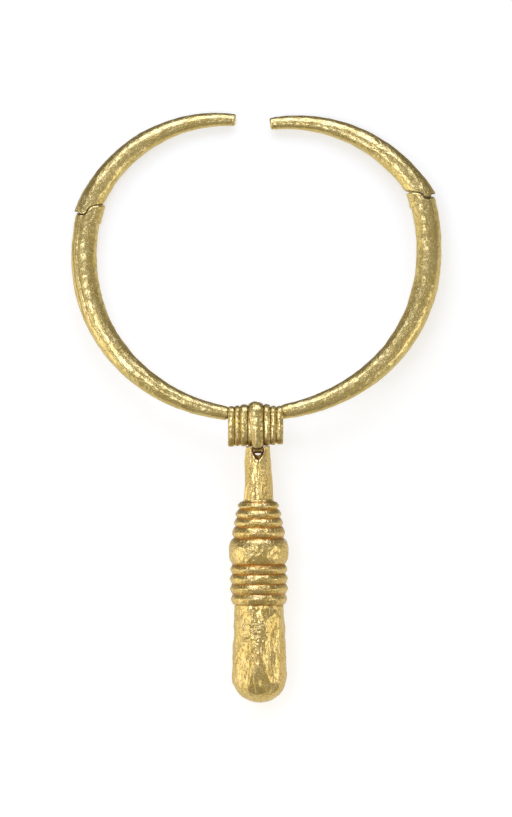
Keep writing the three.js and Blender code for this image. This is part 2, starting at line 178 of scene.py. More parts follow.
def turned_about_x(points, angle):
    """The points turned about the X axis by the angle in radians."""
    x, y, z = points[..., 0], points[..., 1], points[..., 2]
    cos, sin = math.cos(angle), math.sin(angle)
    return np.stack([x, y * cos - z * sin, y * sin + z * cos], axis=-1)


def collar_to_row(points):
    """From the collar's own frame to the row frame, in metres: tipped, then moved so that the
    left hinge's pivot meets its joint."""
    pivot = np.array([*HINGES["left"]["pivot"], 0.0])
    anchor = np.array(joints["left_arm_hinge"]["pos_m"])
    return turned_about_x(points - pivot, -COLLAR_TILT) * MM + anchor


def drop_to_row(points):
    """From the drop's own frame to the row frame, in metres."""
    anchor = np.array(joints["drop_swing"]["pos_m"])
    return turned_about_x(points, DROP_TILT) * MM + anchor


# ---- hammered relief


def smooth_step(low, high, value):
    """0 below low, 1 above high, and an S-shaped cubic between."""
    share = np.clip((value - low) / (high - low), 0, 1)
    return share * share * (3 - 2 * share)


def plateau(rise, fall, value):
    """1 between a rise and a fall, each given by where it starts and ends, and 0 outside."""
    return smooth_step(*rise, value) * (1 - smooth_step(*fall, value))


def lattice_slots(cells, mixed):
    """A number from 0 to 255 for each cell of the lattice, from a shuffled table."""
    first = mixed[cells[..., 0] & 255]
    second = mixed[(first + cells[..., 1]) & 255]
    return mixed[(second + cells[..., 2]) & 255]


def swells(points, seed):
    """Smooth random heights from about -1 to 1. Each corner of a unit lattice has a random
    direction, and a point's height blends its dot products with the 8 corners round it."""
    chance = np.random.default_rng(seed)
    mixed = chance.permutation(256)
    directions = chance.normal(size=(256, 3))
    directions /= np.linalg.norm(directions, axis=1, keepdims=True)
    cells = np.floor(points).astype(int)
    inside = points - cells
    ease = inside**3 * (inside * (inside * 6 - 15) + 10)
    height = np.zeros(points.shape[:-1])
    for corner in np.ndindex(2, 2, 2):
        slots = lattice_slots(cells + corner, mixed)
        weight = np.prod(np.where(corner, ease, 1 - ease), axis=-1)
        height += weight * np.sum(directions[slots] * (inside - corner), axis=-1)
    return 1.6 * height


def dents(points, seed):
    """Heights over round bowls that meet in ridges: the squared distance to the nearest of the
    random points, one in each unit cell. About 0 in the bowls and 0.6 on the ridges."""
    chance = np.random.default_rng(seed)
    mixed = chance.permutation(256)
    offsets = chance.random((256, 3))
    cells = np.floor(points).astype(int)
    nearest = np.full(points.shape[:-1], 9.0)
    for corner in np.ndindex(3, 3, 3):
        neighbour = cells + np.array(corner) - 1
        centres = neighbour + offsets[lattice_slots(neighbour, mixed)]
        nearest = np.minimum(nearest, np.sum((points - centres) ** 2, axis=-1))
    return nearest


# ---- meshes

SHARP_FROM = 50  # degrees between two faces from which their edge is shown sharp


def grid_faces(rings, sides, wrap_rings=False):
    """Quads over a grid of points numbered ring by ring, facing outwards where the sides run
    anticlockwise as seen from the last ring."""
    ring = np.arange(rings if wrap_rings else rings - 1)[:, None]
    side = np.arange(sides)[None, :]
    here, on = ring * sides, (ring + 1) % rings * sides
    beside = (side + 1) % sides
    corners = (here + side, here + beside, on + beside, on + side)
    return np.stack([np.broadcast_to(c, (ring.size, side.size)) for c in corners], -1).reshape(-1, 4)


def fan_faces(centre, rim, outwards):
    """Triangles from a centre point to a closed rim of points."""
    after = np.roll(rim, -1)
    pair = (after, rim) if outwards else (rim, after)
    return np.stack([np.full(rim.size, centre), *pair], -1)


def new_mesh(name, vertices, face_groups):
    """A mesh from vertices and arrays of faces with equal numbers of corners."""
    mesh = bpy.data.meshes.new(name)
    corners = np.concatenate([group.ravel() for group in face_groups])
    totals = np.concatenate([np.full(len(group), group.shape[1]) for group in face_groups])
    starts = np.concatenate([[0], np.cumsum(totals)[:-1]])
    mesh.vertices.add(len(vertices))
    mesh.vertices.foreach_set("co", np.asarray(vertices, np.float32).ravel())
    mesh.loops.add(len(corners))
    mesh.loops.foreach_set("vertex_index", corners.astype(np.int32))
    mesh.polygons.add(len(totals))
    mesh.polygons.foreach_set("loop_start", starts.astype(np.int32))
    mesh.update(calc_edges=True)
    return mesh


def capped_tube(name, rows):
    """A closed mesh from rings of points, with a point in the middle of each end."""
    rings, sides = rows.shape[:2]
    middles = np.stack([rows[0].mean(0), rows[-1].mean(0)])
    vertices = np.concatenate([rows.reshape(-1, 3), middles])
    count = rings * sides
    return new_mesh(name, vertices, [
        grid_faces(rings, sides),
        fan_faces(count, np.arange(sides), True),
        fan_faces(count + 1, np.arange(count - sides, count), False),
    ])


def prism(name, outline, low, high):
    """A flat outline in X and Y raised from one height to another."""
    outline = np.asarray(outline, float)
    x, y = outline.T
    if np.sum(x * np.roll(y, -1) - np.roll(x, -1) * y) < 0:
        outline = outline[::-1]
    count = len(outline)
    rows = [np.column_stack([outline, np.full(count, z)]) for z in (low, high)]
    numbers = np.arange(count)
    return new_mesh(name, np.concatenate(rows), [
        grid_faces(2, count), numbers[None, ::-1], numbers[None, :] + count,
    ])


def full_turn(sides):
    """Even angles all the way round."""
    return np.linspace(0, 2 * math.pi, sides, endpoint=False)


def rod(name, radius, start, end, sides=48):
    """A round bar between two points. Its ends are flat."""
    start, end = np.asarray(start, float), np.asarray(end, float)
    along = (end - start) / np.linalg.norm(end - start)
    side = np.cross(along, (0.0, 0.0, 1.0) if abs(along[2]) < 0.5 else (1.0, 0.0, 0.0))
    side /= np.linalg.norm(side)
    other = np.cross(along, side)
    turn = full_turn(sides)[:, None]
    rim = radius * (np.cos(turn) * side + np.sin(turn) * other)
    return capped_tube(name, np.stack([start + rim, end + rim]))


def linked(name, data):
    """A new object in the scene."""
    thing = bpy.data.objects.new(name, data)
    bpy.context.scene.collection.objects.link(thing)
    return thing


def worked(mesh, steps):
    """The mesh after each (operation, other mesh) in turn, as one new mesh."""
    base = linked(mesh.name, mesh)
    tools = [linked(other.name, other) for operation, other in steps]
    for (operation, other), tool in zip(steps, tools):
        modifier = base.modifiers.new(other.name, "BOOLEAN")
        modifier.operation, modifier.solver, modifier.object = operation, "MANIFOLD", tool
    graph = bpy.context.evaluated_depsgraph_get()
    made = bpy.data.meshes.new_from_object(base.evaluated_get(graph))
    for thing in (base, *tools):
        data = thing.data
        bpy.data.objects.remove(thing)
        bpy.data.meshes.remove(data)
    return made


def vertices_of(mesh):
    """The mesh's vertices as an array."""
    flat = np.zeros(len(mesh.vertices) * 3, np.float32)
    mesh.vertices.foreach_get("co", flat)
    return flat.reshape(-1, 3).astype(float)


def along_y(vertices):
    """Surface coordinates of a piece that is worked along its Y axis."""
    return vertices[:, [1, 0, 2]]


def finished(name, mesh, place, lay, painted_shade):
    """The shown object, its vertices placed in the row frame. Its surface coordinates (lay, in
    millimetres) and how much painted shade a point gets (0 to 1) are kept for the finish."""
    mesh.vertices.foreach_set("co", place(vertices_of(mesh)).astype(np.float32).ravel())
    mesh.attributes.new("lay", "FLOAT_VECTOR", "POINT").data.foreach_set(
        "vector", np.asarray(lay, np.float32).ravel()
    )
    mesh.attributes.new("painted_shade", "FLOAT", "POINT").data.foreach_set(
        "value", np.clip(painted_shade, 0, 1).astype(np.float32)
    )
    mesh.shade_smooth()
    mesh.set_sharp_from_angle(angle=math.radians(SHARP_FROM))
    mesh.update()
    mesh.name = name
    return linked(name, mesh)


# ---- centre lines of the collar


class CentreLine:
    """A level curve through closely spaced points, measured along in millimetres."""

    def __init__(self, points):
        self.points = points
        steps = np.linalg.norm(np.diff(points, axis=0), axis=1)
        self.along = np.concatenate([[0], np.cumsum(steps)])
        self.length = self.along[-1]
        self.slope = np.gradient(points, self.along, axis=0)

    def at(self, along):
        """The points and unit directions at these lengths, each as two columns."""
        place = np.column_stack([np.interp(along, self.along, c) for c in self.points.T])
        ahead = np.column_stack([np.interp(along, self.along, c) for c in self.slope.T])
        return place, ahead / np.linalg.norm(ahead, axis=1, keepdims=True)

    def laid_straight(self, vertices):
        """For each vertex its length along the line, its distance to the left of it, and its
        height, as if the tube were pulled straight."""
        marks = np.arange(0, self.length, 0.5)
        place, ahead = self.at(marks)
        laid = np.zeros_like(vertices)
        for part in np.array_split(np.arange(len(vertices)), max(1, len(vertices) // 8000)):
            away = vertices[part, None, :2] - place[None]
            nearest = np.argmin(np.sum(away**2, axis=-1), axis=1)
            offset = vertices[part, :2] - place[nearest]
            direction = ahead[nearest]
            laid[part, 0] = marks[nearest] + np.sum(offset * direction, axis=1)
            laid[part, 1] = direction[:, 0] * offset[:, 1] - direction[:, 1] * offset[:, 0]
            laid[part, 2] = vertices[part, 2]
        return laid


def bezier(ends, count=1500):
    """Points of a cubic curve from the front of the bar."""
    t = np.linspace(0, 1, count)[:, None]
    a, b, c, d = (np.array(p, float) for p in (BAR_FRONT, *ends))
    return a * (1 - t) ** 3 + 3 * b * t * (1 - t) ** 2 + 3 * c * t * t * (1 - t) + d * t**3


def bar_points():
    """The front bar's centre line from left to right, straight inside the bail."""
    points = np.concatenate([bezier(BAR_LEFT)[::-1], bezier(BAR_RIGHT)[1:]])
    rise, fall = (SEAT_LEFT - SEAT_EASE, SEAT_LEFT + 0.5), (SEAT_RIGHT - 0.5, SEAT_RIGHT + SEAT_EASE)
    inside = plateau(rise, fall, points[:, 0])
    points[:, 1] += inside * (SEAT_Y - points[:, 1])
    return points


def arm_points(arm):
    """An arm's centre line, a circular arc from a little past its hinge to its tip."""
    turn = math.copysign(1, arm["tip_angle"] - arm["hinge_angle"])
    angles = np.radians(np.linspace(arm["hinge_angle"] - turn * ARM_OVERRUN, arm["tip_angle"], 900))
    x, y = arm["centre"]
    return np.column_stack([x + arm["bend"] * np.cos(angles), y + arm["bend"] * np.sin(angles)])


def bar_radius(line, along):
    """Thin in front, swelling by a power curve towards both hinges; thinner still in the bail."""
    middle = bar_front_at(line)
    share = np.where(
        along < middle, (middle - along) / middle, (along - middle) / (line.length - middle),
    )
    left = np.clip(1 - share / SWELL_SHARE, 0, 1)
    radius = FRONT_RADIUS + (SIDE_RADIUS - FRONT_RADIUS) * (1 - left**SWELL_POWER)
    ends = [(end - 0.15, end + 0.15) for end in (SEAT_LEFT, SEAT_RIGHT)]
    in_bail = plateau(*ends, line.at(along)[0][:, 0])
    return radius + in_bail * (SEAT_RADIUS - radius)


def bar_front_at(line):
    """How far along the bar its lowest point in front is."""
    return np.interp(BAR_FRONT[0], line.points[:, 0], line.along)


def arm_radius(arm, line, along):
    """Tapers by a power curve from the hinge to the tip."""
    overrun = line.length * ARM_OVERRUN / (ARM_OVERRUN + abs(arm["tip_angle"] - arm["hinge_angle"]))
    share = np.clip((along - overrun) / (line.length - overrun), 0, 1)
    return ARM_RADIUS + (TIP_RADIUS - ARM_RADIUS) * share**ARM_TAPER


# ---- hinges


def hinge_point(hinge, u, v):
    """A point of the hinge's own frame, in the plane of the collar."""
    lean = math.radians(hinge["lean"])
    x, y = hinge["pivot"]
    return (
        x + hinge["inward"] * (u * math.cos(lean) + v * math.sin(lean)),
        y - u * math.sin(lean) + v * math.cos(lean),
    )


def hinge_coordinates(hinge, x, y):
    """The u and v of points in the plane of the collar."""
    lean = math.radians(hinge["lean"])
    dx, dy = (x - hinge["pivot"][0]) * hinge["inward"], y - hinge["pivot"][1]
    return dx * math.cos(lean) - dy * math.sin(lean), dx * math.sin(lean) + dy * math.cos(lean)


def seam(hinge, knuckle, face, drop):
    """The seam seen from above, as u and v: in from the neck side, down by a quadratic curve,
    clockwise round the knuckle and straight out to the outer edge."""
    slope = math.radians(hinge["seam_slope"])
    shoulder = np.array(hinge["shoulder"]) + drop * np.array([math.sin(slope), -math.cos(slope)])
    far = shoulder + REACH * np.array([math.cos(slope), math.sin(slope)])
    turn = np.radians(np.linspace(hinge["seam_start"], face - 360, 60))
    arc = knuckle * np.column_stack([np.cos(turn), np.sin(turn)])
    control = np.array([(knuckle + shoulder[0]) / 2 - 0.4, shoulder[1] - 0.5])
    t = np.linspace(0, 1, 24)[:-1, None]
    fall = shoulder * (1 - t) ** 2 + 2 * control * t * (1 - t) + arc[0] * t**2
    out = REACH * np.array([[math.cos(math.radians(face)), math.sin(math.radians(face))]])
    return np.concatenate([far[None], fall, arc, out])


def arm_seam(hinge):
    """The arm's side of the seam, close round its own knuckle."""
    return seam(hinge, hinge["tongue"], hinge["arm_face"], 0)


def bar_seam(hinge):
    """The bar's side of the seam: wider round the knuckle and a clearance lower."""
    return seam(hinge, hinge["cradle"], hinge["bar_face"], CLEARANCE)


def placed(hinge, outline):
    """The outline's points in the plane of the collar."""
    return np.column_stack(hinge_point(hinge, outline[:, 0], outline[:, 1]))


def beyond_seam(name, hinge, outline, side):
    """A solid of everything on one side of the seam."""
    corners = np.array([[-REACH, side * REACH], [REACH, side * REACH]])
    return prism(name, placed(hinge, np.concatenate([outline, corners])), -REACH, REACH)


def distance_to(outline, x, y):
    """The distance in the plane from each point to a line of straight pieces."""
    nearest = np.full(x.shape, 99.0)
    for start, end in zip(outline[:-1], outline[1:]):
        run = end - start
        share = ((x - start[0]) * run[0] + (y - start[1]) * run[1]) / max(1e-9, run @ run)
        share = np.clip(share, 0, 1)
        gap = np.hypot(x - start[0] - share * run[0], y - start[1] - share * run[1])
        nearest = np.minimum(nearest, gap)
    return nearest


def rolled_edge(outline, x, y, width, depth):
    """How far the surface sinks beside a cut edge: the depth at the edge, falling away as a
    square within the width."""
    return depth * np.clip(1 - distance_to(outline, x, y) / width, 0, 1) ** 2


def in_seam(hinge, outline, vertices):
    """Painted shade: 1 in the cut of the seam, falling to 0 a little way out, and less on the neck
    side.
    """
    x, y = vertices[:, 0], vertices[:, 1]
    cleaner = 0.25 * smooth_step(0.5, 4, hinge_coordinates(hinge, x, y)[0])
    return 1.1 - cleaner - smooth_step(0.05, 0.5, distance_to(placed(hinge, outline), x, y))


def upright(name, hinge, radius, low=-REACH, high=REACH):
    """A round bar on the hinge's axis."""
    x, y = hinge["pivot"]
    return rod(name, radius, (x, y, low), (x, y, high))


# ---- collar pieces

# Marks on the tubes: size along, across and in depth, and their height.
WIDE_MARKS, WIDE_HEIGHT = (7.5, 3.2, 3.2), 0.16
DENT_MARKS, DENT_HEIGHT = (2.9, 1.7, 1.7), 0.21
GRAIN_MARKS, GRAIN_HEIGHT = (1.3, 0.8, 0.8), 0.045
# Two furrows below the left hinge and the folded strip between them: distance from the
# tube's middle, width, and depth or height.
FURROWS = ((-2.1, 0.30, 0.32), (-3.85, 0.28, 0.26))
FURROW_ENDS = (1, 50)
STRIP = (-2.95, 0.55, 0.24)
STRIP_ENDS = (1, 48)
BAR_SIDES, ARM_SIDES = 88, 84
TIP_GROOVE = (1.25, 0.3, 0.13)  # distance from the tip, half width, depth


def tube_relief(laid, radius, seed):
    """Height of the hammered surface over the smooth tube: long soft swells and shallow dents,
    lower where the tube is thin, and a fine grain."""
    wide = swells(laid / WIDE_MARKS, seed)
    dented = dents(laid / DENT_MARKS, seed + 1) - MEAN_DENT
    grain = swells(laid / GRAIN_MARKS, seed + 2)
    size = np.clip(radius / SIDE_RADIUS, 0.4, 1)
    return size * (WIDE_HEIGHT * wide + DENT_HEIGHT * dented) + GRAIN_HEIGHT * grain


def ring_marks(length, fine_start, fine_end, fine=0.15, plain=0.34):
    """Lengths along a tube for its rings, closer together near the ends that have a hinge."""
    start = np.arange(0, fine_start, fine)
    end = length - np.arange(0, fine_end, fine)[::-1]
    low, high = start[-1] + fine, end[0] if fine_end else length
    middle = np.linspace(low, high, int((high - low) / plain), endpoint=not fine_end)
    return np.concatenate([start, middle, end])


def round_tube(line, along, radius, sides):
    """Points round a level curve: across it by the cosine of the turn, up by the sine."""
    place, ahead = line.at(along)
    turn = full_turn(sides)
    left = np.column_stack([-ahead[:, 1], ahead[:, 0]])
    reach = radius * np.cos(turn)
    flat = place[:, None, :] + left[:, None, :] * reach[..., None]
    return np.concatenate([flat, (radius * np.sin(turn))[..., None]], axis=-1)


def smooth_tube(line, along, radius, sides):
    """The tube before any relief: the radius at each point, the points, and what they would
    be if the tube were pulled straight."""
    turn = full_turn(sides)
    radius = np.broadcast_to(radius[:, None], (along.size, sides))
    laid = np.broadcast_arrays(along[:, None], radius * np.cos(turn), radius * np.sin(turn))
    return radius, round_tube(line, along, radius, sides), np.stack(laid, axis=-1)


def furrow(laid, ends, offset, width):
    """How near each point lies to a line along the tube's upper side, 1 on it: a bell curve
    across, wandering a little by two sines, fading at its two ends."""
    start, end = ends
    length = laid[..., 0]
    fade = plateau((start, start + 2), (end - 8, end), length)
    wander = 0.16 * np.sin(length / 4.1) + 0.07 * np.sin(length / 1.9 + 1)
    across = (laid[..., 1] - offset - wander) / width
    return fade * np.exp(-across * across) * (laid[..., 2] > 0)


def furrows(laid):
    """How near each point lies to each of the furrows."""
    return [furrow(laid, FURROW_ENDS, offset, width) for offset, width, depth in FURROWS]


def bar_surface(line):
    """The front bar's tube with its hammered relief, raised tabs and rolled seam edges."""
    along = ring_marks(line.length, 17, 17)
    radius, smooth, laid = smooth_tube(line, along, bar_radius(line, along), BAR_SIDES)
    relief = tube_relief(laid, radius, BAR_SEED)
    for trace, (offset, width, depth) in zip(furrows(laid), FURROWS):
        relief -= depth * trace
    offset, width, height = STRIP
    relief += height * furrow(laid, STRIP_ENDS, offset, width)
    for hinge in HINGES.values():
        u, v = hinge_coordinates(hinge, smooth[..., 0], smooth[..., 1])
        raised = smooth_step(TAB_INNER - 0.3, TAB_INNER + 0.3, u)
        raised *= smooth_step(hinge["tab_low"] - 0.25, hinge["tab_low"] + 0.1, v)
        relief += TAB_PROUD * raised * (np.hypot(u, v) < NEAR_HINGE)
        edge = placed(hinge, bar_seam(hinge))
        relief -= rolled_edge(edge, smooth[..., 0], smooth[..., 1], *SEAM_ROLL)
    return capped_tube("bar", round_tube(line, along, radius + relief, BAR_SIDES))


def middle_leaf(hinge):
    """The bar's own leaf of the knuckle, a disc round the pin, and the web that carries it."""
    web_end = -hinge["cradle"] - 0.7
    web = np.array([[WEB[0], web_end], [WEB[1], web_end], [WEB[1], 0], [WEB[0], 0]])
    return (
        upright("leaf", hinge, hinge["tongue"], -MIDDLE_LEAF, MIDDLE_LEAF),
        prism("web", placed(hinge, web), -MIDDLE_LEAF, MIDDLE_LEAF),
    )


def front_bar():
    """The bar cut along both seams, with its leaves of the two hinges."""
    line = CentreLine(bar_points())
    steps = []
    for side, hinge in HINGES.items():
        leaf, web = middle_leaf(hinge)
        steps += [
            ("DIFFERENCE", beyond_seam("seam", hinge, bar_seam(hinge), 1)),
            ("UNION", leaf),
            ("UNION", web),
            ("DIFFERENCE", upright("hole", hinge, PIN_RADIUS + PIN_FIT)),
        ]
    mesh = worked(bar_surface(line), steps)
    vertices = vertices_of(mesh)
    laid = line.laid_straight(vertices)
    seams = [in_seam(hinge, bar_seam(hinge), vertices) for hinge in HINGES.values()]
    # The furrows get painted shade, near black in their middles.
    traces = [0.95 * trace for trace in furrows(laid)]
    painted_shade = np.maximum.reduce([hollow_of_tube(laid, BAR_SEED), *traces, *seams])
    return finished("gold_front_bar", mesh, collar_to_row, laid, painted_shade)


def hollow_of_tube(laid, seed):
    """Painted shade, deeper in the bottoms of the dents and of the fine grain."""
    dented = dents(laid / DENT_MARKS, seed + 1)
    grain = swells(laid / GRAIN_MARKS, seed + 2)
    return np.clip(0.35 - 0.7 * dented - 0.55 * grain, 0, 1)


def arm_surface(side, line):
    """An arm's hammered tube; a quarter circle rounds its tip and flat rings close it."""
    hinge = HINGES[side]
    body = ring_marks(line.length - TIP_ROUNDING, 14, 0)
    bend = np.radians(np.linspace(0, 90, 7))[1:]
    shrinking = np.linspace(1, 0, 6, endpoint=False)[1:]
    rounding = line.length - TIP_ROUNDING * (1 - np.sin(bend))
    along = np.concatenate([body, rounding, np.full(shrinking.size, line.length)])
    radius = arm_radius(ARMS[side], line, along)
    face = len(body) + bend.size
    radius[len(body):face] -= TIP_ROUNDING * (1 - np.cos(bend))
    radius[face:] = radius[face - 1] * shrinking
    radius, smooth, laid = smooth_tube(line, along, radius, ARM_SIDES)
    fade = 1 - smooth_step(line.length - 1.2, line.length, along)[:, None]
    relief = fade * tube_relief(laid, radius, ARM_SEEDS[side])
    from_tip, half_width, depth = TIP_GROOVE
    groove = np.abs(along - line.length + from_tip)[:, None] / half_width
    relief -= depth * np.exp(-groove * groove) * (radius > 1)
    edge = placed(hinge, arm_seam(hinge))
    relief -= rolled_edge(edge, smooth[..., 0], smooth[..., 1], *SEAM_ROLL)
    return capped_tube("arm", round_tube(line, along, radius + relief, ARM_SIDES))


def arm_and_pin(side):
    """The arm, cut along its seam and slotted for the bar's leaf, and its pin, cut off flush
    with the arm's surface."""
    hinge = HINGES[side]
    line = CentreLine(arm_points(ARMS[side]))
    leaf_half = MIDDLE_LEAF + CLEARANCE
    mesh = worked(arm_surface(side, line), [
        ("DIFFERENCE", beyond_seam("seam", hinge, arm_seam(hinge), -1)),
        ("DIFFERENCE", upright("slot", hinge, hinge["tongue"] + CLEARANCE, -leaf_half, leaf_half)),
        ("DIFFERENCE", upright("hole", hinge, PIN_RADIUS + PIN_FIT)),
    ])
    vertices = vertices_of(mesh)
    laid = line.laid_straight(vertices)
    # Painted shade in the dents and in the seam's cut.
    dented = hollow_of_tube(laid, ARM_SEEDS[side])
    painted_shade = np.maximum(dented, in_seam(hinge, arm_seam(hinge), vertices))
    arm = finished(f"gold_{side}_arm", mesh, collar_to_row, laid, painted_shade)
    shaft = worked(upright("shaft", hinge, PIN_RADIUS), [("INTERSECT", arm_surface(side, line))])
    laid = line.laid_straight(vertices_of(shaft))
    pin = finished(f"gold_{side}_hinge_pin", shaft, collar_to_row, laid, np.full(len(laid), 0.3))
    return arm, pin


# ---- bail


def loop_path(top, bend, length, x, blunt):
    """How far down and how far in front each profile point lies on its way round a long loop:
    half a turn round the seat, straight down the back, half a turn round the lower bend, which
    is flattened by the blunt share, and straight up the front. Also the share of the way from
    the seat's end to the lower end. The loop is a little longer on its left."""
    turn = np.linspace(0, math.pi, TURN_STEPS)[:, None]
    share = np.linspace(0, 1, SIDE_STEPS)[1:-1, None]
    length = length - BAIL_SKEW * x + (1 - blunt) * bend
    down = np.concatenate([
        -top * np.sin(turn), length * share, length + blunt * bend * np.sin(turn),
        length * (1 - share),
    ])
    front = np.concatenate([
        top * np.cos(turn), -top + (top - bend) * share, -bend * np.cos(turn),
        bend + (top - bend) * share,
    ])
    lower = np.concatenate([np.zeros_like(turn), share, np.ones_like(turn), 1 - share])
    return down, front, np.broadcast_to(lower, down.shape)


def closed_loop(name, x, top, bend, length, narrowing, shift, relief, seed, blunt):
    """A ring whose closed profile is carried round a long loop. Relief lifts a point away from
    the loop's middle."""
    down, front, lower = loop_path(top, bend, np.broadcast_to(length, top.shape), x, blunt)
    wide = x * (1 + lower * (narrowing - 1)) + shift * lower
    middle = np.clip(down, 0, length)
    away = np.stack([down - middle, front], axis=-1)
    away /= np.maximum(1e-6, np.linalg.norm(away, axis=-1, keepdims=True))
    where = np.stack([wide, down, front], axis=-1)
    lift = relief * (
        0.14 * swells(where / (1.3, 3.0, 3.0), seed)
        + 0.12 * swells(where / (0.8, 1.0, 1.0), seed + 1)
        + 0.19 * (dents(where / (1.7, 2.0, 2.0), seed + 2) - MEAN_DENT)
    )
    down = down + away[..., 0] * lift
    front = front + away[..., 1] * lift
    rows = np.stack([wide + 0.5 * lift, SEAT_Y - down, front], axis=-1)
    rings, sides = rows.shape[:2]
    faces = grid_faces(rings, sides, wrap_rings=True)[:, ::-1]
    return new_mesh(name, rows.reshape(-1, 3), [faces])


def sleeve():
    """Seven ribs side by side, each falling from its crest to its edges by a power curve."""
    share = np.array(RIB_SHARES)
    start, end, crest, extra, groove = np.array(SIDE_RIBS).T[..., None]
    fall = groove * np.abs(2 * share - 1) ** 2.6
    bore = np.full(len(BORE_X), SEAT_RADIUS + CLEARANCE)
    x, top, bend, longer = (np.concatenate([grid.ravel(), last, inner]) for grid, last, inner in (
        (start + share * (end - start), end[-1], BORE_X),
        (crest - fall, crest[-1] - END_GROOVE, bore),
        (BAIL_BEND - fall, [BAIL_BEND - END_GROOVE], bore),
        (extra + 0 * fall, [0], 0 * bore),
    ))
    relief = (np.arange(x.size) < x.size - bore.size).astype(float)
    relief[[0, -1 - bore.size]] = 0.3
    return closed_loop(
        "sleeve", x, top, bend, BAIL_LENGTH + longer, 1, 0, relief, seed=51, blunt=1.25
    )


def middle_rib():
    """One fat rib over the others: a half circle across, narrower at its lower end."""
    rib = MIDDLE_RIB
    base = SEAT_RADIUS + CLEARANCE
    angle = np.radians(np.linspace(180, 0, 26))
    rise = np.sin(angle)

    def risen(low, high, under):
        return np.concatenate([low + (high - low) * rise, [under, under]])

    half = rib["half_width"]
    x = np.concatenate([half * np.cos(angle), [0.9 * half, -0.9 * half]]) + rib["centre"]
    top = risen(base + 0.3, rib["top_radius"], base)
    bend = risen(base + 0.3, rib["bend_radius"], base)
    length = risen(BAIL_LENGTH, rib["length"], BAIL_LENGTH)
    relief = np.concatenate([np.ones(angle.size), np.zeros(2)])
    return closed_loop(
        "middle_rib", x, top, bend, length, rib["narrowing"], DROP_X, relief, seed=61, blunt=0.2
    )


def bail():
    """The ribbed loop and its lug, with painted shade, and a duller surface, between the ribs,
    along the middle rib's edges and towards the lower end.
    """
    pin_y = SEAT_Y - PIN_DISTANCE
    half = LUG_WIDTH / 2
    lug = rod("lug", LUG_RADIUS, (DROP_X - half, pin_y, 0), (DROP_X + half, pin_y, 0))
    hole = rod("hole", DROP_PIN_RADIUS + PIN_FIT, (-REACH, pin_y, 0), (REACH, pin_y, 0))
    mesh = worked(sleeve(), [("UNION", middle_rib()), ("UNION", lug), ("DIFFERENCE", hole)])
    vertices = vertices_of(mesh)
    x = vertices[:, 0]
    groove = np.zeros(len(x))
    for start, end, crest, extra, depth in SIDE_RIBS:
        share = np.clip((x - start) / (end - start), 0, 1)
        groove = np.maximum(groove, ((x >= start) & (x < end)) * np.abs(2 * share - 1) ** 4)
    # Painted shade along the edges of the middle rib, and growing towards the loop's lower end.
    under_rib = np.abs(np.abs(x - MIDDLE_RIB["centre"]) - MIDDLE_RIB["half_width"]) < 0.35
    lower_shade = 0.68 * smooth_step(2.5, 9.0, SEAT_Y - vertices[:, 1])
    painted_shade = np.maximum.reduce([groove, 0.9 * under_rib, lower_shade])
    return finished("gold_bail", mesh, collar_to_row, along_y(vertices), painted_shade)


# ---- drop


def ring_shares(depth):
    """For each ring its number, its radius, and how far across it these depths lie, 0 to 1."""
    edge = RINGS_START
    for number, (width, crest) in enumerate(RINGS):
        yield number, crest, (depth - edge) / width
        edge += width


def ring_outline(depth):
    """Radius of the ringed middle part at these depths below the pin: each ring falls from its
    crest to its edges by a power of the distance, a cubic on the belly."""
    radius = np.full(depth.shape, RINGS[-1][1] - RING_RELIEF)
    for number, crest, share in ring_shares(depth):
        belly = number == BELLY
        relief, power = (BELLY_RELIEF, BELLY_POWER) if belly else (RING_RELIEF, RING_POWER)
        inside = (share >= 0) & (share <= 1)
        radius = np.where(inside, crest - relief * np.abs(2 * share - 1) ** power, radius)
    return radius


def groove_depth(depth):
    """Painted shade, near 1 in the bottom of the grooves between the rings, 0 on their crests."""
    painted_shade = np.zeros(depth.shape)
    for number, crest, share in ring_shares(depth):
        power = BELLY_SHADE_POWER if number == BELLY else RING_SHADE_POWER
        inside = (share >= -0.1) & (share <= 1.1)
        painted_shade = np.maximum(painted_shade, 0.8 * inside * np.clip(np.abs(2 * share - 1), 0, 1) ** power)
    return painted_shade * (depth > RINGS_START - 0.8) * (depth < RINGS_END + 0.8)


def bell(where, depth, x, below, half_width, half_length):
    """1 at a place on the club's front, falling off all round by a bell curve."""
    across, along = (where[..., 0] - x) / half_width, (depth - RINGS_END - below) / half_length
    return np.exp(-(across**2 + along**2)) * (where[..., 2] > 0)


def drop_outline():
    """The turned outline from the bottom of the bore, over the rim and down to the club's end,
    as radius and depth below the pin. Also how many of its points lie in the bore."""
    rise = np.linspace(NECK_DEPTH - 0.3, -NECK_CROWN, 22)
    bore = np.concatenate([
        [[0.6, NECK_DEPTH], [2.0, NECK_DEPTH], [NECK_BORE - 0.3, NECK_DEPTH]],
        np.column_stack([np.full(rise.size, NECK_BORE), rise]),
        [[NECK_BORE + 0.35, -NECK_CROWN]],
    ])
    fall = np.linspace(-NECK_CROWN, NECK_PROFILE[-1][1], 62)
    radii, depths = np.array(NECK_PROFILE).T
    neck = np.column_stack([np.interp(fall, depths, radii), fall])
    flare = np.column_stack([[5.85, 6.3], [19.5, 19.8]])
    level = np.concatenate([
        start + np.linspace(0, width, max(10, int(width / 0.27)), endpoint=False)
        for start, (width, crest) in zip(RINGS_START + np.cumsum([0, *[w for w, c in RINGS]]), RINGS)
    ])
    rings = np.column_stack([ring_outline(level), level])
    share = np.linspace(0, 1, 74)
    club = np.column_stack([
        CLUB_TOP_RADIUS + (CLUB_END_RADIUS - CLUB_TOP_RADIUS) * share ** CLUB_SWELL,
        RINGS_END + 0.1 + CLUB_LENGTH * share,
    ])
    turn = np.radians(np.linspace(0, 87, 38))[1:]
    end = np.column_stack([
        CLUB_END_RADIUS * np.cos(turn), RINGS_END + 0.1 + CLUB_LENGTH + CLUB_ROUNDING * np.sin(turn),
    ])
    return np.concatenate([bore, neck, flare, rings, club, end]), len(bore)


